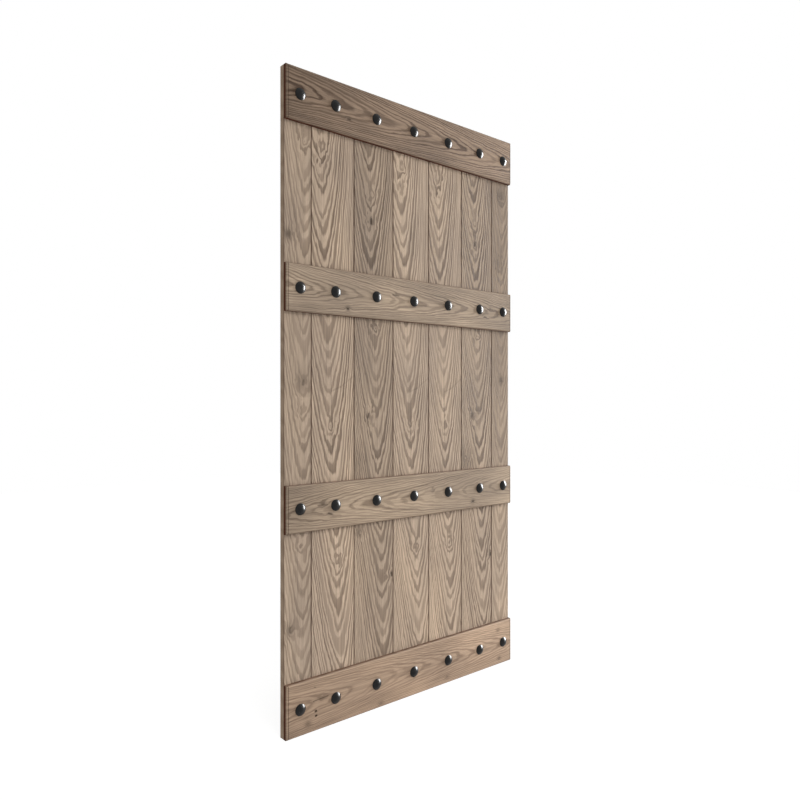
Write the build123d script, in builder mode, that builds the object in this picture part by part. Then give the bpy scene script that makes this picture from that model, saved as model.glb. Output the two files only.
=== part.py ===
"""Ledged barn door slab, in millimetres: upright tongue-and-groove boards, bevelled battens and domed studs.

+Z is up, +X runs to the right across the batten side, and -Y points out of that side.
The origin is the middle of the boards' top edge, which is where the door is hung.
"""

import os
from itertools import pairwise
from math import asin, atan2, cos, degrees, pi, sin

from build123d import *

# Slab
door_width = 1066.8
door_height = 2133.6

# Boards: full boards of equal face width between two narrower edge boards
full_board_count = 5
edge_board_face = 102.2
board_thickness = 22.2
seam_gap = 0.8
face_bevel = 2.0
back_bevel = 1.0

# Tongue-and-groove joint
tongue_thickness = 6.4
tongue_length = 8.0
tongue_bevel = 0.8
tongue_side_clearance = 0.15
tongue_end_clearance = 1.0

# Battens: two wide ones flush with the ends of the boards, two narrower ones between them
batten_thickness = 15.9
outer_batten_width = 171.6
inner_batten_width = 153.4
lower_panel_height = 476.5
upper_panel_height = 454.0
batten_bevel = 5.0

# Studs: a forged domed head on a square nail shank, one at each crossing of board and batten
head_diameter = 38.0
head_height = 10.0
head_rim = 2.0
head_sides = 24
crown_diameter = 9.0
dome_rings = 4
shank_width = 5.0
shank_length = 28.0
point_length = 7.0
point_width = 1.2
shank_clearance = 0.1
point_clearance = 1.0

# Levels and planes
bottom = -door_height
left = -door_width / 2
board_front = -board_thickness / 2
batten_front = board_front - batten_thickness
shank_hole_width = shank_width + 2 * shank_clearance
board_hole_depth = shank_length - batten_thickness + point_clearance

# Where the seams fall across the width, from the left edge to the right edge
full_board_face = (door_width - 2 * edge_board_face) / full_board_count
seams = [left]
seams += [left + edge_board_face + n * full_board_face for n in range(full_board_count + 1)]
seams += [left + door_width]
board_spans = list(zip(seams[:-1], seams[1:]))
board_centres = [(start + end) / 2 for start, end in board_spans]

# Lower edge and width of each batten
lower_middle = bottom + outer_batten_width + lower_panel_height
upper_middle = -outer_batten_width - upper_panel_height - inner_batten_width
battens = {
    "bottom_batten": (bottom, outer_batten_width),
    "lower_middle_batten": (lower_middle, inner_batten_width),
    "upper_middle_batten": (upper_middle, inner_batten_width),
    "top_batten": (-outer_batten_width, outer_batten_width),
}
batten_centres = {name: low + width / 2 for name, (low, width) in battens.items()}


def facing_out(y, x=0, z=0):
    """Upright plane at depth y with its normal pointing out of the batten side, centred on (x, z)."""
    return Plane(origin=(x, y, z), x_dir=(1, 0, 0), z_dir=(0, -1, 0))


def make_board(number):
    """One board: bevelled face, groove on its left, tongue on its right, blind holes for the shanks."""
    has_groove = number > 0
    has_tongue = number < len(board_spans) - 1
    start, end = board_spans[number]
    start += seam_gap / 2 if has_groove else 0
    end -= seam_gap / 2 if has_tongue else 0
    groove_depth = tongue_length - seam_gap + tongue_end_clearance

    with BuildPart() as board:
        with BuildSketch(Plane.XY.offset(bottom)) as section:
            with Locations(((start + end) / 2, 0)):
                Rectangle(end - start, board_thickness)
            chamfer(section.vertices().group_by(Axis.Y)[0], length=face_bevel)
            chamfer(section.vertices().group_by(Axis.Y)[-1], length=back_bevel)
            if has_tongue:
                with Locations((end, 0)):
                    Rectangle(tongue_length, tongue_thickness, align=(Align.MIN, Align.CENTER))
                chamfer(section.vertices().group_by(Axis.X)[-1], length=tongue_bevel)
            if has_groove:
                with Locations((start, 0)):
                    Rectangle(
                        groove_depth,
                        tongue_thickness + 2 * tongue_side_clearance,
                        align=(Align.MIN, Align.CENTER),
                        mode=Mode.SUBTRACT,
                    )
        extrude(amount=door_height)
        with BuildSketch(facing_out(board_front)):
            with Locations([(board_centres[number], z) for z in batten_centres.values()]):
                Rectangle(shank_hole_width, shank_hole_width)
        extrude(amount=-board_hole_depth, mode=Mode.SUBTRACT)
    return board


def make_batten(name):
    """One batten: a plain rail across every board, bevelled round its face and bored for the shanks."""
    low, width = battens[name]
    with BuildPart() as batten:
        with BuildSketch(facing_out(board_front)):
            with Locations((0, low + width / 2)):
                Rectangle(door_width, width)
        extrude(amount=batten_thickness)
        face = batten.faces().sort_by(Axis.Y)[0]
        chamfer(face.edges(), length=batten_bevel)
        with BuildSketch(facing_out(batten_front)):
            with Locations([(x, low + width / 2) for x in board_centres]):
                Rectangle(shank_hole_width, shank_hole_width)
        extrude(amount=-batten_thickness, mode=Mode.SUBTRACT)
    return batten


def dome_sections():
    """Radius and height of each ring of the dome, from the rim in to the crown, along one arc."""
    reach = (head_diameter - crown_diameter) / 2
    rise = head_height - head_rim
    arc_radius = (reach**2 + rise**2) / (2 * rise)
    arc_angle = asin(reach / arc_radius)
    for ring in range(dome_rings + 1):
        angle = arc_angle * (1 - ring / dome_rings)
        yield crown_diameter / 2 + arc_radius * sin(angle), head_height - arc_radius * (1 - cos(angle))


def make_stud():
    """The stud, head up: an upright rim and a faceted dome over its seat, and a square shank with a long point."""
    with BuildPart() as stud:
        with BuildSketch(Plane.XY):
            RegularPolygon(head_diameter / 2, head_sides)
        extrude(amount=head_rim)
        for (radius, height), (next_radius, next_height) in pairwise(dome_sections()):
            with BuildSketch(Plane.XY.offset(height)):
                RegularPolygon(radius, head_sides)
            rise = next_height - height
            inset = (radius - next_radius) * cos(pi / head_sides)
            extrude(amount=rise, taper=degrees(atan2(inset, rise)))
        with BuildSketch(Plane.XY):
            Rectangle(shank_width, shank_width)
        extrude(amount=-shank_length)
        shank_end = stud.faces().sort_by(Axis.Z)[0]
        point_inset = (shank_width - point_width) / 2
        chamfer(shank_end.edges(), length=point_inset, length2=point_length, reference=shank_end)
    return stud


def drive_stud(stud, x, z):
    """A copy of the stud driven through a batten at (x, z), its head seated on the batten's face."""
    with BuildPart() as driven:
        with Locations(facing_out(batten_front, x, z)):
            add(stud)
    return driven


os.makedirs("parts", exist_ok=True)

for number in range(len(board_spans)):
    board = make_board(number)
    board.part.label = f"board_{number + 1}"
    export_step(board.part, f"parts/{board.part.label}.step")

stud = make_stud()
for name in battens:
    batten = make_batten(name)
    batten.part.label = name
    export_step(batten.part, f"parts/{name}.step")
    for number, x in enumerate(board_centres, start=1):
        driven = drive_stud(stud, x, batten_centres[name])
        driven.part.label = f"{name}_stud_{number}"
        export_step(driven.part, f"parts/{driven.part.label}.step")
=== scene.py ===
"""Looks of a plank-and-batten barn door: brushed and grey-stained softwood planks with black iron studs.

Lengths are in metres in the door's own frame: +X across the batten side, -Y out of it, +Z up, and the
origin in the middle of the top edge. Each plank is also described in its own terms: across is over its
width, along follows its grain and depth goes in from its face, all from the middle of the face.
"""

import math

import bmesh
import bpy
import numpy as np
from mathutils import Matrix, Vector


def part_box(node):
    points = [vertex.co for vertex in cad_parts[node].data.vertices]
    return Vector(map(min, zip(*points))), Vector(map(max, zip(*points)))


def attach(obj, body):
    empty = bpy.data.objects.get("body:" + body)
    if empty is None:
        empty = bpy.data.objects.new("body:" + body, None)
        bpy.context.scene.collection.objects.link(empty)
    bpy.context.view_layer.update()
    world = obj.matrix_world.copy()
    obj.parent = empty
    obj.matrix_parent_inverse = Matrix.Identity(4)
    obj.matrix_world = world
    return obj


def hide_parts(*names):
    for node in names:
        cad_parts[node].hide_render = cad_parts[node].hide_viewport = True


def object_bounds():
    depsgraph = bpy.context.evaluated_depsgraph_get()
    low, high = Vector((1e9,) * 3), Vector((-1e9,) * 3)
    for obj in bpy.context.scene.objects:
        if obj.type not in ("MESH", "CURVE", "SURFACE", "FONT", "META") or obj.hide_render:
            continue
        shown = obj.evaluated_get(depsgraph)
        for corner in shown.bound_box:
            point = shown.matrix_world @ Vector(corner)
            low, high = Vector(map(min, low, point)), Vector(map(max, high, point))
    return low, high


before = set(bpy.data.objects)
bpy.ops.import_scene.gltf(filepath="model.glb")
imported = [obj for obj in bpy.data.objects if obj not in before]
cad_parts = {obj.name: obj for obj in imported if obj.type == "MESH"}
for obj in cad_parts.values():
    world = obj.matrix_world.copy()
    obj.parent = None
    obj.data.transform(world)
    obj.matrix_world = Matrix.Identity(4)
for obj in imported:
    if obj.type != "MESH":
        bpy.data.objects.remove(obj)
cad_low, cad_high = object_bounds()

MM = 0.001
BODY = "root"
BOARD_COUNT = 7
BATTENS = ("top_batten", "upper_middle_batten", "lower_middle_batten", "bottom_batten")

# Section of the tongue-and-groove boards
FACE_BEVEL = 2.0 * MM
BACK_BEVEL = 1.0 * MM
TONGUE_THICKNESS = 6.4 * MM
TONGUE_LENGTH = 8.0 * MM
TONGUE_BEVEL = 0.8 * MM
GROOVE_WIDTH = 6.7 * MM
GROOVE_DEPTH = 8.2 * MM

# Bevel round the face of each batten, and a dark line across it near each end
BATTEN_BEVEL = 5.0 * MM
END_LINE_PLACE = 7.7 * MM
END_LINE_HALF_WIDTH = 1.4 * MM

# How deep the soft wood is brushed back, and over what distance from the bevel that sets in
BOARD_BRUSHING = 0.35 * MM
BATTEN_BRUSHING = 0.3 * MM
BRUSHING_FADE = 4.0 * MM

# Spacing of the points that carry the grain: over the face, over the back and along the plank
FACE_PITCH = 2.5 * MM
BACK_PITCH = 5.0 * MM
ALONG_PITCH = 6.0 * MM

# Sizes of the patterns in the growth rings: across the plank, into its depth and along the grain
WIGGLE_SIZE = (30 * MM, 30 * MM, 65 * MM)
DENT_SIZE = (9 * MM, 17 * MM, 110 * MM)
CURL_SIZE = (17 * MM, 25 * MM, 28 * MM)
WANDER_LENGTH = 450 * MM

# How many rings a run of good or poor years lasts
YEARS_RUN = 1.8

# Eyes in the grain are a little longer than wide, and the grain is curly this far round them
EYE_SQUASH = 0.8
CURL_REACH = 60 * MM

# Stud heads, and the size and depth of the dents in their hammered skin
RIM_HEIGHT = 2.0 * MM
CROWN_RADIUS = 0.4 * MM
BLOW_SIZE = 9 * MM
BLOW_DEPTH = 0.06 * MM

# Edges of planks and of studs stay crisp where they turn by more than these angles.
# Points within the tolerance of a face lie on it.
PLANK_CRISP_ANGLE = math.radians(30)
STUD_CRISP_ANGLE = math.radians(40)
FACE_TOLERANCE = 0.01 * MM

# Seeds of the random patterns: a step from plank to plank, and one for all the studs
PLANK_SEED_STEP = 3.7
STUD_SEED = 5.0


def linear(hex_colour, shade=1.0):
    """An sRGB hex colour as linear red, green, blue and alpha, made darker or lighter by a shade."""
    channels = [int(hex_colour[i : i + 2], 16) / 255 for i in (1, 3, 5)]
    light = [c / 12.92 if c <= 0.04045 else ((c + 0.055) / 1.055) ** 2.4 for c in channels]
    return (*[shade * c for c in light], 1.0)


def add(tree, kind, inputs=None, **settings):
    """Adds a node with its settings. Each input takes a value, a socket, or a node's first output."""
    node = tree.nodes.new(kind)
    for name, value in settings.items():
        setattr(node, name, value)
    for key, value in (inputs or {}).items():
        if isinstance(value, bpy.types.Node):
            value = value.outputs[0]
        if isinstance(value, bpy.types.NodeSocket):
            tree.links.new(value, node.inputs[key])
        else:
            node.inputs[key].default_value = value
    return node


def new_tree(name, sockets):
    """A Geometry Nodes tree with these named inputs, and its input sockets by name."""
    tree = bpy.data.node_groups.new(name, "GeometryNodeTree")
    tree.interface.new_socket("Geometry", in_out="INPUT", socket_type="NodeSocketGeometry")
    for socket, kind in sockets.items():
        tree.interface.new_socket(socket, in_out="INPUT", socket_type="NodeSocket" + kind)
    tree.interface.new_socket("Geometry", in_out="OUTPUT", socket_type="NodeSocketGeometry")
    given = {socket.name: socket for socket in add(tree, "NodeGroupInput").outputs}
    return tree, given


def grown(blank, tree, values, name):
    """The plain mesh that a tree makes of a blank mesh, as a new piece of that name."""
    holder = bpy.data.objects.new(name + "_blank", blank)
    bpy.context.scene.collection.objects.link(holder)
    modifier = holder.modifiers.new(tree.name, "NODES")
    modifier.node_group = tree
    for item in tree.interface.items_tree:
        if item.in_out == "INPUT" and item.name in values:
            modifier[item.identifier] = values[item.name]
    graph = bpy.context.evaluated_depsgraph_get()
    mesh = bpy.data.meshes.new_from_object(holder.evaluated_get(graph))
    holder.modifiers.remove(modifier)
    bpy.data.objects.remove(holder)
    piece = bpy.data.objects.new(name, mesh)
    mesh.name = name
    bpy.context.scene.collection.objects.link(piece)
    return piece


def crisp_edged(tree, geometry, limit):
    """Node that shades a geometry smooth, with crisp edges where they turn by more than the limit."""
    angle = add(tree, "GeometryNodeInputMeshEdgeAngle")
    crisp = add(tree, "FunctionNodeCompare", {0: angle, 1: limit}, operation="GREATER_THAN")
    smooth = add(tree, "GeometryNodeSetShadeSmooth", {"Geometry": geometry, "Shade Smooth": True})
    return add(
        tree,
        "GeometryNodeSetShadeSmooth",
        {"Geometry": smooth, "Selection": crisp, "Shade Smooth": False},
        domain="EDGE",
    )


# Growth rings and studs


def raised_grain_tree():
    """Tree that lays growth rings through a plank and brushes the soft wood between them below its face.

    The rings are shells round a pith line near the face. They rise along the plank, so each one comes out
    on the face as an arch. Eyes are places where the rings bend round a small branch, with curly grain
    about them. The rings, the stain at the eyes and the distances to the edges are kept as attributes.
    """
    tree, given = new_tree(
        "raised_grain",
        {
            "Middle": "Vector",
            "Lies level": "Bool",
            "Width": "Float",
            "Length": "Float",
            "Thickness": "Float",
            "Bevel": "Float",
            "Ring width": "Float",
            "Pith depth": "Float",
            "Pith offset": "Float",
            "Pith drift": "Float",
            "Pith wander": "Float",
            "Spread": "Float",
            "Flare": "Float",
            "Rise": "Float",
            "Wiggle": "Float",
            "Dents": "Float",
            "Unevenness": "Float",
            "Eyes": "Object",
            "Curl": "Float",
            "Brushing": "Float",
            "Seed": "Float",
            "Face wood": "Material",
            "Edge wood": "Material",
        },
    )
    math_node, vector_math = "ShaderNodeMath", "ShaderNodeVectorMath"
    combine, noise = "ShaderNodeCombineXYZ", "ShaderNodeTexNoise"
    switch, named = "GeometryNodeSwitch", "GeometryNodeInputNamedAttribute"

    # Place in the plank's own terms
    here = add(tree, "GeometryNodeInputPosition")
    from_middle = add(tree, vector_math, {0: here, 1: given["Middle"]}, operation="SUBTRACT")
    x, depth, z = add(tree, "ShaderNodeSeparateXYZ", {0: from_middle}).outputs
    across = add(tree, switch, {0: given["Lies level"], 1: x, 2: z}, input_type="FLOAT")
    along = add(tree, switch, {0: given["Lies level"], 1: z, 2: x}, input_type="FLOAT")

    # Line of the pith: offset, drift with length and a slow wander
    seed_vector = add(tree, combine, {0: given["Seed"], 1: given["Seed"]})
    wander_noise = add(
        tree,
        noise,
        {"W": along, "Vector": seed_vector, "Scale": 1 / WANDER_LENGTH, "Detail": 1.0},
        noise_dimensions="4D",
    )
    signed_wander = add(tree, math_node, {0: wander_noise, 1: 0.5}, operation="SUBTRACT")
    wander = add(tree, math_node, {0: signed_wander, 1: given["Pith wander"]}, operation="MULTIPLY")
    drift = add(
        tree,
        math_node,
        {0: along, 1: given["Pith drift"], 2: given["Pith offset"]},
        operation="MULTIPLY_ADD",
    )
    pith = add(tree, math_node, {0: drift, 1: wander}, operation="ADD")
    aside = add(tree, math_node, {0: across, 1: pith}, operation="SUBTRACT")

    # Distance from the pith, growing faster towards the plank's edges
    below = add(tree, math_node, {0: depth, 1: given["Pith depth"]}, operation="ADD")
    radial = add(tree, combine, {0: aside, 1: below})
    radius = add(tree, vector_math, {0: radial}, operation="LENGTH").outputs["Value"]
    near = add(tree, math_node, {0: radius, 1: given["Spread"]}, operation="MULTIPLY")
    aside_squared = add(tree, math_node, {0: aside, 1: aside}, operation="MULTIPLY")
    shell = add(
        tree, math_node, {0: aside_squared, 1: given["Flare"], 2: near}, operation="MULTIPLY_ADD"
    )
    sloping = add(
        tree, math_node, {0: along, 1: given["Rise"], 2: shell}, operation="MULTIPLY_ADD"
    )

    # Small wiggles of the rings, longer along the grain than across it
    grain_place = add(tree, combine, {0: across, 1: depth, 2: along})
    stretched = add(tree, vector_math, {0: grain_place, 1: WIGGLE_SIZE}, operation="DIVIDE")
    wiggle_noise = add(
        tree,
        noise,
        {"Vector": stretched, "W": given["Seed"], "Scale": 1.0, "Detail": 2.0, "Roughness": 0.45},
        noise_dimensions="4D",
    )
    signed_wiggle = add(tree, math_node, {0: wiggle_noise, 1: 0.5}, operation="SUBTRACT")
    wiggled = add(
        tree,
        math_node,
        {0: signed_wiggle, 1: given["Wiggle"], 2: sloping},
        operation="MULTIPLY_ADD",
    )

    # Dents that run on from ring to ring, narrow across the grain and long along it
    drawn_out = add(tree, vector_math, {0: grain_place, 1: DENT_SIZE}, operation="DIVIDE")
    dent_noise = add(
        tree,
        noise,
        {"Vector": drawn_out, "W": given["Seed"], "Scale": 1.0, "Detail": 2.0, "Roughness": 0.55},
        noise_dimensions="4D",
    )
    signed_dent = add(tree, math_node, {0: dent_noise, 1: 0.5}, operation="SUBTRACT")
    dented = add(
        tree, math_node, {0: signed_dent, 1: given["Dents"], 2: wiggled}, operation="MULTIPLY_ADD"
    )
    even_rings = add(tree, math_node, {0: dented, 1: given["Ring width"]}, operation="DIVIDE")

    # Good and poor years: rings of unequal width
    years = add(
        tree,
        noise,
        {"W": even_rings, "Vector": seed_vector, "Scale": 1 / YEARS_RUN, "Detail": 1.0},
        noise_dimensions="4D",
    )
    signed_year = add(tree, math_node, {0: years, 1: 0.5}, operation="SUBTRACT")
    rings = add(
        tree,
        math_node,
        {0: signed_year, 1: given["Unevenness"], 2: even_rings},
        operation="MULTIPLY_ADD",
    )

    # Eyes: a bell of bent rings over each place, stretched along the grain
    eyes = add(tree, "GeometryNodeObjectInfo", {"Object": given["Eyes"]}).outputs["Geometry"]
    eye_stretch = (1, 0, EYE_SQUASH)
    eye_place = add(tree, vector_math, {0: grain_place, 1: eye_stretch}, operation="MULTIPLY")
    nearest = add(tree, "GeometryNodeSampleNearest", {"Geometry": eyes, "Sample Position": eye_place})
    eye = {}
    for attribute in ("reach", "turns", "stain"):
        value = add(tree, named, {"Name": attribute}, data_type="FLOAT")
        eye[attribute] = add(
            tree,
            "GeometryNodeSampleIndex",
            {"Geometry": eyes, "Value": value, "Index": nearest},
            data_type="FLOAT",
        )
    eye_middle = add(
        tree,
        "GeometryNodeSampleIndex",
        {"Geometry": eyes, "Value": here, "Index": nearest},
        data_type="FLOAT_VECTOR",
    )
    off_eye = add(tree, vector_math, {0: eye_place, 1: eye_middle}, operation="DISTANCE").outputs["Value"]
    even_share = add(tree, math_node, {0: off_eye, 1: eye["reach"]}, operation="DIVIDE")
    share = add(tree, math_node, {0: signed_dent, 1: 0.7, 2: even_share}, operation="MULTIPLY_ADD")
    share_squared = add(tree, math_node, {0: share, 1: share}, operation="MULTIPLY")
    falling = add(tree, math_node, {0: share_squared, 1: -1.0}, operation="MULTIPLY")
    bell = add(tree, math_node, {0: falling}, operation="EXPONENT")
    stain = add(tree, math_node, {0: bell, 1: eye["stain"]}, operation="MULTIPLY")

    # Round an eye the rings are curly, in small waves that die out away from it
    curl_place = add(tree, vector_math, {0: grain_place, 1: CURL_SIZE}, operation="DIVIDE")
    curl_noise = add(
        tree,
        noise,
        {"Vector": curl_place, "W": given["Seed"], "Scale": 1.0, "Detail": 1.0},
        noise_dimensions="4D",
    )
    signed_curl = add(tree, math_node, {0: curl_noise, 1: 0.5}, operation="SUBTRACT")
    curliness = add(
        tree,
        "ShaderNodeMapRange",
        {"Value": off_eye, "From Min": 0.0, "From Max": CURL_REACH, "To Min": given["Curl"], "To Max": 0.0},
        interpolation_type="SMOOTHSTEP",
    )
    curled = add(tree, math_node, {0: signed_curl, 1: curliness, 2: rings}, operation="MULTIPLY_ADD")
    growth = add(tree, math_node, {0: bell, 1: eye["turns"], 2: curled}, operation="MULTIPLY_ADD")

    # How far in from the rim of the face
    half_width = add(tree, math_node, {0: given["Width"], 1: 0.5}, operation="MULTIPLY")
    half_length = add(tree, math_node, {0: given["Length"], 1: 0.5}, operation="MULTIPLY")
    off_side = add(tree, math_node, {0: across}, operation="ABSOLUTE")
    off_end = add(tree, math_node, {0: along}, operation="ABSOLUTE")
    to_side = add(tree, math_node, {0: half_width, 1: off_side}, operation="SUBTRACT")
    to_end = add(tree, math_node, {0: half_length, 1: off_end}, operation="SUBTRACT")
    rim = add(tree, math_node, {0: to_side, 1: to_end}, operation="MINIMUM")

    # Brushing lowers the soft half of each ring on the face and the back, fading out at the arris
    turned = add(tree, math_node, {0: growth, 1: math.tau}, operation="MULTIPLY")
    ridge = add(tree, math_node, {0: turned}, operation="COSINE")
    hollow = add(tree, math_node, {0: ridge, 1: -0.5, 2: 0.5}, operation="MULTIPLY_ADD")
    past_bevel = add(tree, math_node, {0: rim, 1: given["Bevel"]}, operation="SUBTRACT")
    fade = add(
        tree,
        "ShaderNodeMapRange",
        {"Value": past_bevel, "From Min": 0.0, "From Max": BRUSHING_FADE},
        interpolation_type="SMOOTHSTEP",
    )
    lowered = add(tree, math_node, {0: hollow, 1: fade}, operation="MULTIPLY")
    amount = add(tree, math_node, {0: lowered, 1: given["Brushing"]}, operation="MULTIPLY")
    half_depth = add(tree, math_node, {0: given["Thickness"], 1: 0.5}, operation="MULTIPLY")
    from_half = add(tree, math_node, {0: half_depth, 1: depth}, operation="SUBTRACT")
    inward = add(tree, math_node, {0: from_half}, operation="SIGN")
    level_part = add(tree, math_node, {0: from_half}, operation="ABSOLUTE")
    short_of_face = add(tree, math_node, {0: half_depth, 1: level_part}, operation="SUBTRACT")
    on_face = add(tree, "FunctionNodeCompare", {0: short_of_face, 1: FACE_TOLERANCE}, operation="LESS_THAN")
    push = add(tree, math_node, {0: amount, 1: inward}, operation="MULTIPLY")
    offset = add(tree, combine, {1: push})

    geometry = given["Geometry"]
    for attribute, value in {"growth": growth, "stain": stain, "rim": rim, "end": to_end}.items():
        geometry = add(
            tree,
            "GeometryNodeStoreNamedAttribute",
            {"Geometry": geometry, "Name": attribute, "Value": value},
            data_type="FLOAT",
            domain="POINT",
        )
    brushed = add(
        tree, "GeometryNodeSetPosition", {"Geometry": geometry, "Selection": on_face, "Offset": offset}
    )
    edged = crisp_edged(tree, brushed, PLANK_CRISP_ANGLE)

    # Sawn edges and ends have a finish of their own
    normal = add(tree, "ShaderNodeSeparateXYZ", {0: add(tree, "GeometryNodeInputNormal")}).outputs[1]
    facing = add(tree, math_node, {0: normal}, operation="ABSOLUTE")
    is_edge = add(tree, "FunctionNodeCompare", {0: facing, 1: 0.5}, operation="LESS_THAN")
    realized = add(tree, "GeometryNodeRealizeInstances", {"Geometry": edged})
    faced = add(tree, "GeometryNodeSetMaterial", {"Geometry": realized, "Material": given["Face wood"]})
    finished = add(
        tree,
        "GeometryNodeSetMaterial",
        {"Geometry": faced, "Selection": is_edge, "Material": given["Edge wood"]},
    )
    add(tree, "NodeGroupOutput", {"Geometry": finished})
    return tree


def driven_studs_tree():
    """Tree that sets a domed head on each point, facing out of the door, with a faintly hammered skin."""
    tree, given = new_tree(
        "driven_studs",
        {
            "Head radius": "Float",
            "Crown radius": "Float",
            "Rim height": "Float",
            "Dome rise": "Float",
            "Hammering": "Float",
            "Seed": "Float",
            "Finish": "Material",
        },
    )
    math_node, vector_math = "ShaderNodeMath", "ShaderNodeVectorMath"
    blank = add(
        tree,
        "GeometryNodeMeshCylinder",
        {
            "Vertices": 40,
            "Side Segments": 1,
            "Fill Segments": 9,
            "Radius": given["Head radius"],
            "Depth": given["Rim height"],
        },
        fill_type="TRIANGLE_FAN",
    )
    x, y, z = add(tree, "ShaderNodeSeparateXYZ", {0: add(tree, "GeometryNodeInputPosition")}).outputs
    flat_place = add(tree, "ShaderNodeCombineXYZ", {0: x, 1: y})
    radius = add(tree, vector_math, {0: flat_place}, operation="LENGTH").outputs["Value"]

    # One arc from the crown out to the rim: its radius follows from its reach and its rise
    reach = add(tree, math_node, {0: given["Head radius"], 1: given["Crown radius"]}, operation="SUBTRACT")
    reach_squared = add(tree, math_node, {0: reach, 1: reach}, operation="MULTIPLY")
    rise = given["Dome rise"]
    rise_squared = add(tree, math_node, {0: rise, 1: rise}, operation="MULTIPLY")
    both = add(tree, math_node, {0: reach_squared, 1: rise_squared}, operation="ADD")
    twice_rise = add(tree, math_node, {0: rise, 1: 2.0}, operation="MULTIPLY")
    arc = add(tree, math_node, {0: both, 1: twice_rise}, operation="DIVIDE")
    off_crown = add(tree, math_node, {0: radius, 1: given["Crown radius"]}, operation="SUBTRACT")
    out = add(tree, math_node, {0: off_crown, 1: 0.0}, operation="MAXIMUM")
    out_squared = add(tree, math_node, {0: out, 1: out}, operation="MULTIPLY")
    arc_squared = add(tree, math_node, {0: arc, 1: arc}, operation="MULTIPLY")
    left_over = add(tree, math_node, {0: arc_squared, 1: out_squared}, operation="SUBTRACT")
    height = add(tree, math_node, {0: left_over}, operation="SQRT")
    base = add(tree, math_node, {0: arc, 1: rise}, operation="SUBTRACT")
    dome = add(tree, math_node, {0: height, 1: base}, operation="SUBTRACT")
    on_top = add(tree, "FunctionNodeCompare", {0: z, 1: 0.0}, operation="GREATER_THAN")
    lift = add(tree, "ShaderNodeCombineXYZ", {2: dome})
    domed = add(
        tree, "GeometryNodeSetPosition", {"Geometry": blank, "Selection": on_top, "Offset": lift}
    )
    half_rim = add(tree, math_node, {0: given["Rim height"], 1: 0.5}, operation="MULTIPLY")
    seat = add(tree, "ShaderNodeCombineXYZ", {2: half_rim})
    seated = add(tree, "GeometryNodeSetPosition", {"Geometry": domed, "Offset": seat})
    placed = add(
        tree,
        "GeometryNodeInstanceOnPoints",
        {"Points": given["Geometry"], "Instance": seated, "Rotation": (math.pi / 2, 0, 0)},
    )
    realized = add(tree, "GeometryNodeRealizeInstances", {"Geometry": placed})
    edged = crisp_edged(tree, realized, STUD_CRISP_ANGLE)
    blows = add(
        tree,
        "ShaderNodeTexNoise",
        {"Scale": 1 / BLOW_SIZE, "Detail": 0.0, "W": given["Seed"]},
        noise_dimensions="4D",
    )
    dent = add(tree, math_node, {0: blows, 1: given["Hammering"]}, operation="MULTIPLY")
    dented = add(tree, "ShaderNodeCombineXYZ", {1: dent})
    hammered = add(tree, "GeometryNodeSetPosition", {"Geometry": edged, "Offset": dented})
    finished = add(
        tree, "GeometryNodeSetMaterial", {"Geometry": hammered, "Material": given["Finish"]}
    )
    add(tree, "NodeGroupOutput", {"Geometry": finished})
    return tree


# Finishes


def new_material(name):
    """A material without nodes, and its tree."""
    material = bpy.data.materials.new(name)
    material.use_nodes = True
    material.node_tree.nodes.clear()
    return material, material.node_tree


# Pine under the grey stain, as soft spring wood and hard summer wood. The middle battens are less red
BOARD_PINE = ("#d1bca7", "#7a6859")
BATTEN_PINE = ("#c7ae98", "#6e584a")
MIDDLE_PINE = ("#c4b09b", "#6c5a4c")

# Boards darken more and more from the foot of the door up to this share of its height
DARKENS_UP_TO = 0.6

# How much of the light is left at a plank's darkest end, and where the wash is thick or thin
DARKEST_END_TONE = "#8c857d"
THICK_WASH_ON_BOARDS = "#e8e6e5"
THICK_WASH_ON_BATTENS = "#dad8d6"
THIN_WASH = "#fffcf7"

# Dark marks in the wood
KNOT = "#453a32"
CRACK = "#2e211a"
END_LINE_TONE = "#3f2d22"
# Painted shade, with some gathered stain, for the seams and the arrises of the battens
SEAM_SHADE_AND_STAIN = "#4a3127"

# Nearly all values of a noise texture lie between these
MOST_NOISE = {"From Min": 0.3, "From Max": 0.7}

# Darkness over one ring, from spring wood to the end of the summer wood, with a faint false ring
RING_TONES = (
    (0.0, 0.6), (0.05, 0.1), (0.17, 0.0), (0.24, 0.14), (0.31, 0.0),
    (0.43, 0.08), (0.56, 0.8), (0.9, 1.0), (1.0, 0.6),
)


def along_grain(width, length, lies_level):
    """Scale of a pattern of this width and length, with its length along the grain of a plank."""
    fine, coarse = 1 / width, 1 / length
    return (coarse, fine, fine) if lies_level else (fine, fine, coarse)


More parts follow.
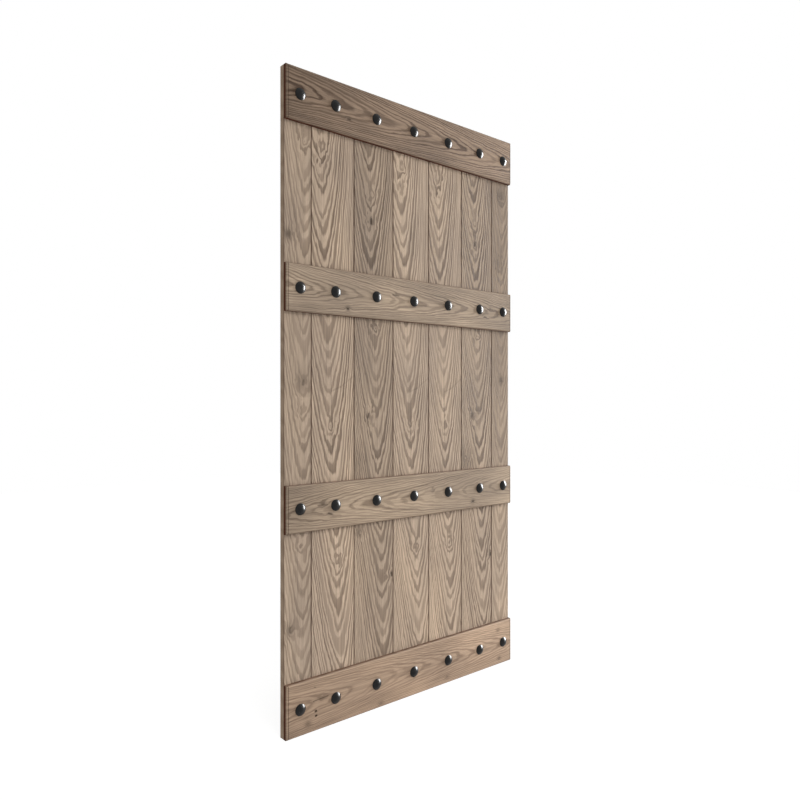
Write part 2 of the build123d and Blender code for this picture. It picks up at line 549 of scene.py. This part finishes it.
def brushed_pine(name, pine, shade, depth, fade, lies_level, cracks):
    """Pine, wire-brushed and washed with a grey stain: tan soft wood, grey-brown summer rings, dry sheen.

    Pine is its two tones. Shade is how light the plank is, depth how dark its summer wood is against the
    soft wood, and fade how much darker its upper or left end is.
    """
    material, tree = new_material(name)
    soft_wood, hard_wood = [linear(tone, shade) for tone in pine]
    math_node, vector_math, noise = "ShaderNodeMath", "ShaderNodeVectorMath", "ShaderNodeTexNoise"
    mix, stretch = "ShaderNodeMix", "ShaderNodeMapping"
    growth = add(tree, "ShaderNodeAttribute", attribute_name="growth").outputs["Fac"]
    stain = add(tree, "ShaderNodeAttribute", attribute_name="stain").outputs["Fac"]
    rim = add(tree, "ShaderNodeAttribute", attribute_name="rim").outputs["Fac"]
    place = add(tree, "ShaderNodeTexCoord").outputs["Object"]

    # The plank is darker over the upper part of a board, or towards the left end of a batten
    x, _, z = add(tree, "ShaderNodeSeparateXYZ", {0: place}).outputs
    if lies_level:
        way, first, last = x, cad_high.x, cad_low.x
    else:
        way, first, last = z, cad_low.z, cad_low.z + DARKENS_UP_TO * (cad_high.z - cad_low.z)
    end_darkening = add(
        tree, "ShaderNodeMapRange", {"Value": way, "From Min": first, "From Max": last, "To Max": fade}
    )

    # Fibres, drawn as coarse as they need to be to show
    fibre_scale = along_grain(1.5 * MM, 80 * MM, lies_level)
    fibre_place = add(tree, stretch, {"Vector": place, "Scale": fibre_scale})
    fibre = add(tree, noise, {"Vector": fibre_place, "Scale": 1.0, "Detail": 3.0, "Roughness": 0.6})

    # Dark summer wood ends each ring with a fairly sharp line, ragged by the fibres. It takes up less of a
    # ring on the battens, and stands out more towards the plank's darker end
    fibre_push = add(
        tree,
        "ShaderNodeMapRange",
        {"Value": fibre, **MOST_NOISE, "To Min": -0.07, "To Max": 0.07},
    )
    ragged = add(tree, math_node, {0: growth, 1: fibre_push}, operation="ADD")
    phase = add(tree, math_node, {0: ragged}, operation="FRACT")
    if lies_level:
        phase = add(tree, math_node, {0: phase, 1: 1.5}, operation="POWER")
    band = add(tree, "ShaderNodeValToRGB", {0: phase})
    band.color_ramp.interpolation = "EASE"
    stops = band.color_ramp.elements
    while len(stops) < len(RING_TONES):
        stops.new(0.5)
    for stop, (position, darkness) in zip(stops, RING_TONES):
        stop.position = position
        stop.color = (darkness, darkness, darkness, 1)
    year = add(tree, math_node, {0: ragged}, operation="FLOOR")
    year_tone = add(tree, "ShaderNodeTexWhiteNoise", {"W": year}, noise_dimensions="1D")
    year_strength = add(
        tree,
        "ShaderNodeMapRange",
        {"Value": year_tone, "To Min": 0.55 * depth, "To Max": 1.1 * depth},
    )
    unstained = add(tree, math_node, {0: band, 1: year_strength}, operation="MULTIPLY")
    contrast = add(tree, math_node, {0: end_darkening, 1: 0.6, 2: 1.0}, operation="MULTIPLY_ADD")
    late_wood = add(tree, math_node, {0: unstained, 1: contrast}, operation="MULTIPLY")
    wood = add(
        tree, mix, {"Factor": late_wood, "A": soft_wood, "B": hard_wood}, data_type="RGBA"
    ).outputs["Result"]
    fibre_tone = add(
        tree,
        "ShaderNodeMapRange",
        {"Value": fibre, **MOST_NOISE, "To Min": 0.86, "To Max": 1.10},
    )

    # Broader streaks of light and dark fibre
    streak_scale = along_grain(5 * MM, 200 * MM, lies_level)
    streak_place = add(tree, stretch, {"Vector": place, "Scale": streak_scale})
    streak = add(tree, noise, {"Vector": streak_place, "Scale": 1.0, "Detail": 2.0, "Roughness": 0.6})
    streak_tone = add(
        tree,
        "ShaderNodeMapRange",
        {"Value": streak, **MOST_NOISE, "To Min": 0.82, "To Max": 1.16},
    )

    # Uneven wash: grey and warm clouds, longer along the grain
    cloud_scale = along_grain(170 * MM, 400 * MM, lies_level)
    cloud_place = add(tree, stretch, {"Vector": place, "Scale": cloud_scale})
    cloud = add(tree, noise, {"Vector": cloud_place, "Scale": 1.0, "Detail": 2.0})
    thin = add(tree, "ShaderNodeMapRange", {"Value": cloud, "From Min": 0.32, "From Max": 0.68})
    thick_wash = linear(THICK_WASH_ON_BATTENS if lies_level else THICK_WASH_ON_BOARDS)
    wash = add(
        tree, mix, {"Factor": thin, "A": thick_wash, "B": linear(THIN_WASH)}, data_type="RGBA"
    ).outputs["Result"]

    # Darker towards the upper part of a board or the left end of a batten
    darker_end = add(
        tree, mix, {"Factor": end_darkening, "A": (1, 1, 1, 1), "B": linear(DARKEST_END_TONE)}, data_type="RGBA"
    ).outputs["Result"]
    for tone in (fibre_tone, streak_tone, wash, darker_end):
        wood = add(
            tree, mix, {"Factor": 1.0, "A": wood, "B": tone}, data_type="RGBA", blend_type="MULTIPLY"
        ).outputs["Result"]
    wood = add(
        tree, mix, {"Factor": stain, "A": wood, "B": linear(KNOT)}, data_type="RGBA"
    ).outputs["Result"]

    # Drying cracks and nail holes, dark to a ragged edge
    fray = add(tree, noise, {"Vector": place, "Scale": 1 / (4 * MM), "Detail": 2.0})
    for start, end, half_width, strength in cracks:
        length = (end - start).length
        direction = (end - start) / length
        off_start = add(tree, vector_math, {0: place, 1: start}, operation="SUBTRACT")
        run = add(tree, vector_math, {0: off_start, 1: direction}, operation="DOT_PRODUCT").outputs["Value"]
        passed = add(tree, "ShaderNodeMapRange", {"Value": run, "From Max": length, "To Max": length})
        on_line = add(tree, vector_math, {0: direction, "Scale": passed}, operation="SCALE")
        gap = add(tree, vector_math, {0: off_start, 1: on_line}, operation="DISTANCE").outputs["Value"]
        frayed = add(tree, math_node, {0: fray, 1: half_width, 2: gap}, operation="MULTIPLY_ADD")
        edge = {"From Min": half_width, "From Max": 2 * half_width, "To Min": strength, "To Max": 0.0}
        open_part = add(tree, "ShaderNodeMapRange", {"Value": frayed, **edge})
        wood = add(
            tree, mix, {"Factor": open_part, "A": wood, "B": linear(CRACK)}, data_type="RGBA"
        ).outputs["Result"]

    # The bevels of the battens are worn lighter, with a dark line across just inside each end
    if lies_level:
        end = add(tree, "ShaderNodeAttribute", attribute_name="end").outputs["Fac"]
        bevel = {"From Min": BATTEN_BEVEL - 0.5 * MM, "From Max": BATTEN_BEVEL + 1.0 * MM}
        worn = add(tree, "ShaderNodeMapRange", {"Value": rim, **bevel, "To Min": 0.25, "To Max": 0.0})
        wood = add(
            tree, mix, {"Factor": worn, "A": wood, "B": soft_wood}, data_type="RGBA"
        ).outputs["Result"]
        on_line = add(
            tree, math_node, {0: end, 1: END_LINE_PLACE, 2: END_LINE_HALF_WIDTH}, operation="COMPARE"
        )
        end_line = add(tree, math_node, {0: on_line, 1: 0.7}, operation="MULTIPLY")
        wood = add(
            tree, mix, {"Factor": end_line, "A": wood, "B": linear(END_LINE_TONE)}, data_type="RGBA"
        ).outputs["Result"]

    # Painted shade in the seams between boards and along the arrises of the battens, with some gathered
    # stain there too
    darkest = 0.42 if lies_level else 0.58
    seam_shade_and_stain = add(
        tree,
        "ShaderNodeMapRange",
        {"Value": rim, "From Min": 0.8 * MM, "From Max": 3.2 * MM, "To Min": darkest, "To Max": 0.0},
        interpolation_type="SMOOTHSTEP",
    )
    wood = add(
        tree, mix, {"Factor": seam_shade_and_stain, "A": wood, "B": linear(SEAM_SHADE_AND_STAIN)}, data_type="RGBA"
    ).outputs["Result"]

    # Summer wood is denser and a little shinier, and the fibres leave fine furrows
    sheen = add(tree, "ShaderNodeMapRange", {"Value": late_wood, "To Min": 0.72, "To Max": 0.55})
    ridges = add(tree, "ShaderNodeBump", {"Height": late_wood, "Strength": 0.6, "Distance": 0.6 * MM})
    furrows = add(
        tree, "ShaderNodeBump", {"Height": fibre, "Strength": 0.3, "Distance": 0.5 * MM, "Normal": ridges}
    )
    shader = add(
        tree,
        "ShaderNodeBsdfPrincipled",
        {"Base Color": wood, "Roughness": sheen, "Specular IOR Level": 0.05, "Normal": furrows},
    )
    add(tree, "ShaderNodeOutputMaterial", {"Surface": shader})
    return material


def sawn_edge(name, light, dark, worn, lies_level):
    """Sawn edge and end grain, which soak up more stain than the face and turn darker and matt.

    Edges that face up take the tone given as worn in place of the light one: painted light from above.
    """
    material, tree = new_material(name)
    mix = "ShaderNodeMix"
    growth = add(tree, "ShaderNodeAttribute", attribute_name="growth").outputs["Fac"]
    place = add(tree, "ShaderNodeTexCoord").outputs["Object"]
    wave = add(tree, "ShaderNodeMath", {0: growth, 1: math.tau}, operation="MULTIPLY")
    ring = add(tree, "ShaderNodeMath", {0: wave}, operation="COSINE")
    ring_tone = add(
        tree, "ShaderNodeMapRange", {"Value": ring, "From Min": -1.0, "To Min": 0.3, "To Max": 0.9}
    )
    fibre_scale = along_grain(1.4 * MM, 50 * MM, lies_level)
    stretched = add(tree, "ShaderNodeMapping", {"Vector": place, "Scale": fibre_scale})
    fibre = add(tree, "ShaderNodeTexNoise", {"Vector": stretched, "Scale": 1.0, "Detail": 3.0})
    tone = add(tree, "ShaderNodeMath", {0: fibre, 1: ring_tone}, operation="MULTIPLY")
    # Faces that look up are painted lighter: painted light from above
    normal = add(tree, "ShaderNodeNewGeometry").outputs["Normal"]
    upward = add(tree, "ShaderNodeSeparateXYZ", {0: normal}).outputs[2]
    painted_top_light = add(tree, "ShaderNodeMapRange", {"Value": upward, "From Min": 0.5, "From Max": 0.9})
    soft_wood = add(
        tree, mix, {"Factor": painted_top_light, "A": linear(light), "B": linear(worn)}, data_type="RGBA"
    ).outputs["Result"]
    colour = add(
        tree, mix, {"Factor": tone, "A": soft_wood, "B": linear(dark)}, data_type="RGBA"
    ).outputs["Result"]
    rough = add(tree, "ShaderNodeBump", {"Height": fibre, "Strength": 0.3, "Distance": 0.4 * MM})
    shader = add(
        tree,
        "ShaderNodeBsdfPrincipled",
        {"Base Color": colour, "Roughness": 0.85, "Specular IOR Level": 0.08, "Normal": rough},
    )
    add(tree, "ShaderNodeOutputMaterial", {"Surface": shader})
    return material


def black_iron(name):
    """Forged iron under black enamel: near black, with a soft-edged highlight and faint orange peel."""
    material, tree = new_material(name)
    place = add(tree, "ShaderNodeTexCoord").outputs["Object"]
    mottle = add(tree, "ShaderNodeTexNoise", {"Vector": place, "Scale": 1 / (11 * MM), "Detail": 3.0})
    bare = add(tree, "ShaderNodeMapRange", {"Value": mottle, **MOST_NOISE})
    black, worn = linear("#0b0b0b"), linear("#191817")
    colour = add(
        tree, "ShaderNodeMix", {"Factor": bare, "A": black, "B": worn}, data_type="RGBA"
    ).outputs["Result"]
    gloss = add(tree, "ShaderNodeMapRange", {"Value": mottle, "To Min": 0.26, "To Max": 0.34})
    skin = add(tree, "ShaderNodeTexNoise", {"Vector": place, "Scale": 1 / (2 * MM), "Detail": 2.0})
    peel = add(tree, "ShaderNodeBump", {"Height": skin, "Strength": 0.1, "Distance": 0.2 * MM})
    shader = add(
        tree,
        "ShaderNodeBsdfPrincipled",
        {"Base Color": colour, "Roughness": gloss, "Specular IOR Level": 0.2, "Normal": peel},
    )
    add(tree, "ShaderNodeOutputMaterial", {"Surface": shader})
    return material


# Planks


def spaced(start, end, pitch):
    """Evenly spaced values from start to end, no further apart than pitch."""
    return list(np.linspace(start, end, math.ceil(abs(end - start) / pitch) + 1))


def board_outline(width, thickness, has_groove, has_tongue):
    """Section of a board as (across, depth): bevelled face, tongue on its right, back and groove."""
    half, middle = width / 2, thickness / 2
    outline = [(-half, FACE_BEVEL)]
    outline += [(u, 0.0) for u in spaced(-half + FACE_BEVEL, half - FACE_BEVEL, FACE_PITCH)]
    outline += [(half, FACE_BEVEL)]
    if has_tongue:
        tip = half + TONGUE_LENGTH
        above, below = middle - TONGUE_THICKNESS / 2, middle + TONGUE_THICKNESS / 2
        outline += [(half, above), (tip - TONGUE_BEVEL, above), (tip, above + TONGUE_BEVEL)]
        outline += [(tip, below - TONGUE_BEVEL), (tip - TONGUE_BEVEL, below), (half, below)]
    outline += [(half, thickness - BACK_BEVEL)]
    outline += [(u, thickness) for u in spaced(half - BACK_BEVEL, -half + BACK_BEVEL, BACK_PITCH)]
    outline += [(-half, thickness - BACK_BEVEL)]
    if has_groove:
        floor = -half + GROOVE_DEPTH
        above, below = middle - GROOVE_WIDTH / 2, middle + GROOVE_WIDTH / 2
        outline += [(-half, below), (floor, below), (floor, above), (-half, above)]
    return outline


def swept(name, outline, stations, place):
    """Closed bar with an outline (across, depth) at each station along it, put where place says."""
    count = len(outline)
    points = [place(across, depth, along) for along in stations for across, depth in outline]
    faces = []
    for ring in range(len(stations) - 1):
        first, second = ring * count, (ring + 1) * count
        faces += [
            (first + i, first + (i + 1) % count, second + (i + 1) % count, second + i) for i in range(count)
        ]
    faces += [range(count), range(len(points) - count, len(points))]
    mesh = bpy.data.meshes.new(name)
    mesh.from_pydata(points, [], faces)
    shape = bmesh.new()
    shape.from_mesh(mesh)
    bmesh.ops.recalc_face_normals(shape, faces=shape.faces)
    shape.to_mesh(mesh)
    shape.free()
    return mesh


def eye_points(name, eyes):
    """Object that holds the places of a plank's eyes for the growth rings, in the plank's own terms."""
    mesh = bpy.data.meshes.new(name)
    mesh.from_pydata([(across * MM, 0, along * MM * EYE_SQUASH) for across, along, *_ in eyes], [], [])
    for column, attribute in ((2, "reach"), (3, "turns"), (4, "stain")):
        unit = MM if attribute == "reach" else 1
        layer = mesh.attributes.new(attribute, "FLOAT", "POINT")
        layer.data.foreach_set("value", [eye[column] * unit for eye in eyes])
    return bpy.data.objects.new(name, mesh)


# What sets one plank apart: its shade, depth and fade as in brushed_pine, and its grain as inputs of the
# growth rings, with drift and rise as slopes.
# An eye is (across, along, reach, extra rings, stain), and a crack is (start, end, half width, strength)
# with its ends as (across, along), all with lengths in mm. A nail hole is a very short crack.
BOARD_GRAIN = {
    "Ring width": 10.0 * MM,
    "Pith depth": 8.0 * MM,
    "Pith offset": 0.0,
    "Pith drift": 0.0,
    "Pith wander": 30.0 * MM,
    "Spread": 0.25,
    "Flare": 5.8,
    "Rise": -0.154,
    "Wiggle": 9.0 * MM,
    "Dents": 6.0 * MM,
    "Unevenness": 1.8,
    "Curl": 3.0,
}
BATTEN_GRAIN = BOARD_GRAIN | {
    "Ring width": 6.4 * MM,
    "Spread": 0.12,
    "Flare": 6.0,
    "Rise": 0.07,
    "Pith wander": 40.0 * MM,
    "Wiggle": 8.0 * MM,
    "Dents": 4.0 * MM,
    "Curl": 1.2,
}
PLANKS = {
    "board_1": {
        "shade": 0.95,
        "depth": 0.56,
        "fade": 0.2,
        "grain": BOARD_GRAIN | {"Pith offset": 22 * MM, "Pith drift": 0.006},
        "eyes": [(-36, 533, 14, -0.5, 0.75), (20, 62, 34, -0.4, 0.4), (12, -29, 16, -1.0, 0.12),
                 (9, -466, 12, -0.7, 0.12), (-28, -725, 18, -1.4, 0.5), (24, 840, 16, -1.0, 0.08)],
        "cracks": [((19, 56), (22, 70), 3.4, 0.4), ((-28, -731), (-28, -719), 4.0, 0.3)],
    },
    "board_2": {
        "shade": 1.13,
        "depth": 0.76,
        "fade": 0.28,
        "grain": BOARD_GRAIN | {"Pith offset": -11 * MM, "Pith drift": -0.048},
        "eyes": [(-38, 840, 16, -1.0, 0.08), (-46, 784, 5, -0.4, 0.4), (-4, -81, 16, -1.0, 0.1),
                 (24, -533, 16, -1.0, 0.08)],
        "cracks": [((-8, 130), (-5, -150), 1.0, 0.5), ((-5, 37), (30, 50), 3.0, 0.2),
                   ((30, 50), (84, 88), 2.6, 0.15)],
    },
    "board_3": {
        "shade": 0.93,
        "depth": 0.74,
        "fade": 0.32,
        "grain": BOARD_GRAIN | {"Pith offset": 11 * MM, "Pith drift": -0.042},
        "eyes": [(-13, 629, 12, -0.5, 0.5), (-26, -49, 13, -0.4, 0.45), (80, -615, 12, -0.4, 0.5),
                 (-82, -209, 45, 0.2, 0.35), (-65, -447, 12, -0.4, 0.5), (6, 262, 16, -1.0, 0.08),
                 (-8, 716, 16, -1.0, 0.08)],
        "cracks": [((-13, 620), (-12, 636), 3.6, 0.75), ((-27, -56), (-24, -42), 3.2, 0.55),
                   ((80, -619), (80, -610), 3.6, 0.75)],
    },
    "board_4": {
        "shade": 1.05,
        "depth": 0.76,
        "fade": 0.18,
        "grain": BOARD_GRAIN | {"Pith offset": -8 * MM, "Pith drift": -0.056},
        "eyes": [(-49, 782, 5, -0.4, 0.6), (-38, 842, 16, -1.0, 0.08), (2, -85, 16, -1.0, 0.1),
                 (24, -533, 16, -1.0, 0.08)],
        "cracks": [((-6, 130), (-4, -150), 1.0, 0.5), ((-4, 37), (30, 50), 3.0, 0.2),
                   ((30, 50), (84, 88), 2.6, 0.15)],
    },
    "board_5": {
        "shade": 1.08,
        "depth": 0.76,
        "fade": 0.24,
        "grain": BOARD_GRAIN | {"Pith offset": -6 * MM, "Pith drift": -0.048},
        "eyes": [(-44, 783, 5, -0.4, 0.6), (-34, 842, 16, -1.0, 0.08), (3, -89, 16, -1.0, 0.1),
                 (20, -540, 16, -1.0, 0.08)],
        "cracks": [((-7, 130), (-4, -150), 1.0, 0.5), ((-4, 37), (30, 50), 3.0, 0.2),
                   ((30, 50), (84, 88), 2.6, 0.15)],
    },
    "board_6": {
        "shade": 1.04,
        "depth": 0.82,
        "fade": 0.36,
        "grain": BOARD_GRAIN | {"Pith offset": 10 * MM, "Pith drift": -0.032},
        "eyes": [(-10, 625, 12, -0.5, 0.5), (-10, 716, 16, -1.0, 0.08), (-27, -53, 13, -0.4, 0.45),
                 (78, -617, 12, -0.4, 0.5), (-66, -225, 45, 0.2, 0.35), (8, 262, 16, -1.0, 0.08)],
        "cracks": [((-10, 616), (-9, 632), 3.6, 0.75), ((-28, -60), (-25, -46), 3.2, 0.55),
                   ((78, -621), (78, -612), 3.6, 0.75)],
    },
    "board_7": {
        "shade": 1.08,
        "depth": 0.46,
        "fade": 0.6,
        "grain": BOARD_GRAIN | {"Pith offset": 4 * MM, "Pith drift": 0.01},
        "eyes": [(1, 839, 22, -0.6, 0.5), (-3, 566, 24, -0.5, 0.35), (7, 88, 15, -0.5, 0.6)],
        "cracks": [((7, 82), (7, 94), 3.4, 0.4)],
    },
    "top_batten": {
        "shade": 0.8,
        "depth": 0.88,
        "fade": 0.52,
        "grain": BATTEN_GRAIN | {"Pith offset": 2 * MM, "Pith drift": -0.02},
        "eyes": [(-30, -291, 9, 0.7, 0.5)],
        "cracks": [((-31, -297), (-29, -285), 2.4, 0.5)],
    },
    "upper_middle_batten": {
        "shade": 0.905,
        "depth": 0.7,
        "fade": 0.0,
        "pine": MIDDLE_PINE,
        "grain": BATTEN_GRAIN | {"Ring width": 5.0 * MM, "Pith offset": -4 * MM, "Pith drift": -0.02},
        "eyes": [(15, -86, 9, 0.6, 0.4), (-49, -296, 8, 1.6, 0.6), (7, 405, 8, 0.6, 0.4),
                 (-28, 376, 6, 0.5, 0.4)],
        "cracks": [((14, -100), (13, -72), 2.4, 0.5), ((-52, -299), (-52, -293), 2.6, 0.7),
                   ((4, 390), (4, 422), 2.2, 0.5), ((-28, 371), (-29, 386), 2.2, 0.5)],
    },
    "lower_middle_batten": {
        "shade": 0.98,
        "depth": 0.56,
        "fade": 0.18,
        "pine": MIDDLE_PINE,
        "grain": BATTEN_GRAIN
        | {"Ring width": 5.4 * MM, "Pith offset": -6 * MM, "Pith drift": 0.02, "Rise": -0.07},
        "eyes": [(8, -396, 12, 0.6, 0.4), (-27, -368, 9, 0.5, 0.4), (13, 94, 8, 0.6, 0.5),
                 (-48, 307, 10, 1.0, 0.65)],
        "cracks": [((5, -414), (5, -380), 3.0, 0.45), ((-24, -374), (-29, -362), 2.8, 0.5),
                   ((-48, 303), (-48, 311), 2.4, 0.6)],
    },
    "bottom_batten": {
        "shade": 1.17,
        "depth": 0.48,
        "fade": 0.34,
        "grain": BATTEN_GRAIN | {"Ring width": 5.6 * MM, "Pith offset": 4 * MM, "Pith drift": -0.01},
        "eyes": [(14, -405, 16, 0.2, 0.2), (-54, -454, 11, 0.5, 0.5), (-71, -154, 9, 0.7, 0.4),
                 (-62, 166, 9, 0.7, 0.4), (54, 453, 9, 0.7, 0.5), (-61, 459, 9, 0.7, 0.6)],
        "cracks": [((13, -433), (16, -376), 1.6, 0.6), ((-21, -425), (-21, -422), 3.2, 0.95),
                   ((-36, -424), (-36, -421), 3.2, 0.95), ((58, -430), (56, -424), 1.6, 0.4)],
    },
}


def plank(name, number, tree, blank, middle, width, length, thickness, bevel, edge_wood):
    """One plank grown from its blank, in place of the solid of the same name."""
    looks = PLANKS[name]
    lies_level = name in BATTENS
    pine = looks.get("pine", BATTEN_PINE if lies_level else BOARD_PINE)
    eyes = eye_points(name + "_eyes", looks["eyes"])
    cracks = [
        [middle + MM * Vector((v, 0, u) if lies_level else (u, 0, v)) for u, v in ends]
        + [half_width * MM, strength]
        for *ends, half_width, strength in looks["cracks"]
    ]
    values = looks["grain"] | {
        "Middle": middle,
        "Lies level": lies_level,
        "Width": width,
        "Length": length,
        "Thickness": thickness,
        "Bevel": bevel,
        "Eyes": eyes,
        "Brushing": BATTEN_BRUSHING if lies_level else BOARD_BRUSHING,
        "Seed": PLANK_SEED_STEP * number,
        "Face wood": brushed_pine(
            name + "_brushed_pine", pine, looks["shade"], looks["depth"], looks["fade"], lies_level, cracks
        ),
        "Edge wood": edge_wood,
    }
    piece = grown(blank, tree, values, "brushed_" + name)
    bpy.data.objects.remove(eyes)
    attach(piece, BODY)
    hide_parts(name)


def make_boards(tree):
    """The upright boards, from left to right."""
    edge_wood = sawn_edge("sawn_board_edge", "#b9a28c", "#7d6856", "#b9a28c", False)
    for number in range(1, BOARD_COUNT + 1):
        name = f"board_{number}"
        low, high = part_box(name)
        has_groove, has_tongue = number > 1, number < BOARD_COUNT
        right = high.x - (TONGUE_LENGTH if has_tongue else 0)
        width, thickness, length = right - low.x, high.y - low.y, high.z - low.z
        middle = Vector(((low.x + right) / 2, low.y, (low.z + high.z) / 2))
        blank = swept(
            name + "_blank",
            board_outline(width, thickness, has_groove, has_tongue),
            spaced(-length / 2, length / 2, ALONG_PITCH),
            lambda across, depth, along: (middle.x + across, middle.y + depth, middle.z + along),
        )
        plank(name, number, tree, blank, middle, width, length, thickness, FACE_BEVEL, edge_wood)


def make_battens(tree):
    """The battens across the boards, from top to bottom, each bevelled all round its face."""
    # The last tone is painted light on the battens' upward faces
    edge_wood = sawn_edge("stained_batten_edge", "#5c3625", "#351c12", "#8f7461", True)
    for number, name in enumerate(BATTENS, start=BOARD_COUNT + 1):
        low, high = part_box(name)
        width, thickness, length = high.z - low.z, high.y - low.y, high.x - low.x
        middle = Vector(((low.x + high.x) / 2, low.y, (low.z + high.z) / 2))
        flat_half, flat_end = width / 2 - BATTEN_BEVEL, length / 2 - BATTEN_BEVEL
        face = [-width / 2, *spaced(-flat_half, flat_half, FACE_PITCH), width / 2]
        back = spaced(width / 2, -width / 2, BACK_PITCH)
        outline = [(across, 0.0) for across in face] + [(across, thickness) for across in back]
        stations = [-length / 2, *spaced(-flat_end, flat_end, ALONG_PITCH), length / 2]

        def place(across, depth, along):
            bevelled = max(depth, abs(across) - flat_half if depth == 0 else depth, abs(along) - flat_end)
            return (middle.x + along, middle.y + min(bevelled, thickness), middle.z + across)

        blank = swept(name + "_blank", outline, stations, place)
        plank(name, number, tree, blank, middle, width, length, thickness, BATTEN_BEVEL, edge_wood)


def make_studs(tree, finish):
    """The domed studs, one at each crossing of board and batten."""
    names = [f"{batten}_stud_{n}" for batten in BATTENS for n in range(1, BOARD_COUNT + 1)]
    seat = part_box(BATTENS[0])[0].y
    boxes = [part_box(name) for name in names]
    low, high = boxes[0]
    head_radius, head_height = (high.x - low.x) / 2, seat - low.y
    blank = bpy.data.meshes.new("stud_seats")
    blank.from_pydata([((a.x + b.x) / 2, seat, (a.z + b.z) / 2) for a, b in boxes], [], [])
    values = {
        "Head radius": head_radius,
        "Crown radius": CROWN_RADIUS,
        "Rim height": RIM_HEIGHT,
        "Dome rise": head_height - RIM_HEIGHT,
        "Hammering": BLOW_DEPTH,
        "Seed": STUD_SEED,
        "Finish": finish,
    }
    piece = grown(blank, tree, values, "domed_studs")
    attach(piece, BODY)
    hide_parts(*names)


# Stage, light and camera

CAMERA_PLACE = (-1.6624, -1.9194, -1.0606)
CAMERA_TURN = math.radians(40.13)
LENS = 31.18
SENSOR = 36.0

# The floor lies just below the door
FLOOR_REACH = 7.0
FLOOR_GAP = 0.5 * MM

# Lamps are placed from the middle of the door
ROOM_LIGHT = 0.38
SOFTBOX_PLACE = (9.4, -3.0, 0.4)
SOFTBOX_SIZE = (3.4, 4.4)
SOFTBOX_POWER = 800
CARD_PLACE = (10.0, -1.8, 1.2)
CARD_SIZE = (5.6, 7.6)
CARD_POWER = 4700
OVERHEAD_PLACE = (-0.4, -2.2, 2.0)
OVERHEAD_SPREAD = math.radians(40)
OVERHEAD_STRENGTH = 1.0


def make_camera():
    """Level camera at half height, left of the door, at the photograph's angle."""
    data = bpy.data.cameras.new("camera")
    data.lens = LENS
    data.sensor_width = SENSOR
    camera = bpy.data.objects.new("camera", data)
    camera.location = CAMERA_PLACE
    camera.rotation_euler = (math.pi / 2, 0, -CAMERA_TURN)
    bpy.context.scene.collection.objects.link(camera)
    bpy.context.scene.camera = camera


def seen_directly(tree):
    """Socket that is 1 for camera, mirror and glass rays, and 0 for the rays that light the object."""
    rays = add(tree, "ShaderNodeLightPath").outputs
    seen = add(
        tree, "ShaderNodeMath", {0: rays["Is Camera Ray"], 1: rays["Is Glossy Ray"]}, operation="MAXIMUM"
    )
    return add(
        tree, "ShaderNodeMath", {0: seen, 1: rays["Is Transmission Ray"]}, operation="MAXIMUM"
    ).outputs[0]


def make_stage():
    """Pale floor under the door, white to the eye but for the door's soft shadow, and a white surround."""
    corners = [(FLOOR_REACH * x, FLOOR_REACH * y) for x, y in ((-1, -1), (1, -1), (1, 1), (-1, 1))]
    floor_mesh = bpy.data.meshes.new("floor")
    floor_mesh.from_pydata([(x, y, cad_low.z - FLOOR_GAP) for x, y in corners], [], [(0, 1, 2, 3)])
    floor = bpy.data.objects.new("floor", floor_mesh)
    bpy.context.scene.collection.objects.link(floor)
    material, tree = new_material("pale_floor")
    matt = add(tree, "ShaderNodeBsdfDiffuse", {"Color": (0.85, 0.85, 0.85, 1)})
    dim = add(tree, "ShaderNodeBsdfDiffuse", {"Color": (0.3, 0.3, 0.3, 1)})
    white = add(tree, "ShaderNodeEmission", {"Color": (1, 1, 1, 1), "Strength": 0.86})
    lit = add(tree, "ShaderNodeAddShader", {0: dim, 1: white})
    mixed = add(tree, "ShaderNodeMixShader", {0: seen_directly(tree), 1: matt, 2: lit})
    add(tree, "ShaderNodeOutputMaterial", {"Surface": mixed})
    floor_mesh.materials.append(material)

    world = bpy.data.worlds.new("white_room")
    world.use_nodes = True
    tree = world.node_tree
    tree.nodes.clear()
    room = add(tree, "ShaderNodeBackground", {"Color": (1, 1, 1, 1), "Strength": ROOM_LIGHT})
    backdrop = add(tree, "ShaderNodeBackground", {"Color": (1, 1, 1, 1), "Strength": 1.0})
    mixed = add(tree, "ShaderNodeMixShader", {0: seen_directly(tree), 1: room, 2: backdrop})
    add(tree, "ShaderNodeOutputWorld", {"Surface": mixed})
    bpy.context.scene.world = world


def soft_lamp(name, size, power):
    """Data of a rectangular lamp."""
    data = bpy.data.lights.new(name, "AREA")
    data.shape = "RECTANGLE"
    data.size, data.size_y = size
    data.energy = power
    return data


def make_lamps():
    """A softbox and a larger white card beside the door on its right, and broad light from the upper front.

    The card adds only highlights, and the light from the front adds none.
    """
    target = Vector((0, 0, (cad_low.z + cad_high.z) / 2))
    overhead = bpy.data.lights.new("overhead", "SUN")
    overhead.angle = OVERHEAD_SPREAD
    overhead.energy = OVERHEAD_STRENGTH
    softbox = soft_lamp("side_softbox", SOFTBOX_SIZE, SOFTBOX_POWER)
    card = soft_lamp("white_card", CARD_SIZE, CARD_POWER)
    for data, place in ((softbox, SOFTBOX_PLACE), (card, CARD_PLACE), (overhead, OVERHEAD_PLACE)):
        lamp = bpy.data.objects.new(data.name, data)
        lamp.location = target + Vector(place)
        lamp.rotation_euler = (-Vector(place)).to_track_quat("-Z", "Y").to_euler()
        lamp.visible_diffuse = data is not card
        lamp.visible_glossy = data is not overhead
        bpy.context.scene.collection.objects.link(lamp)


make_camera()
grain_tree = raised_grain_tree()
make_boards(grain_tree)
make_battens(grain_tree)
make_studs(driven_studs_tree(), black_iron("black_enamelled_iron"))
make_stage()
make_lamps()

bpy.context.scene.view_settings.view_transform = "Standard"
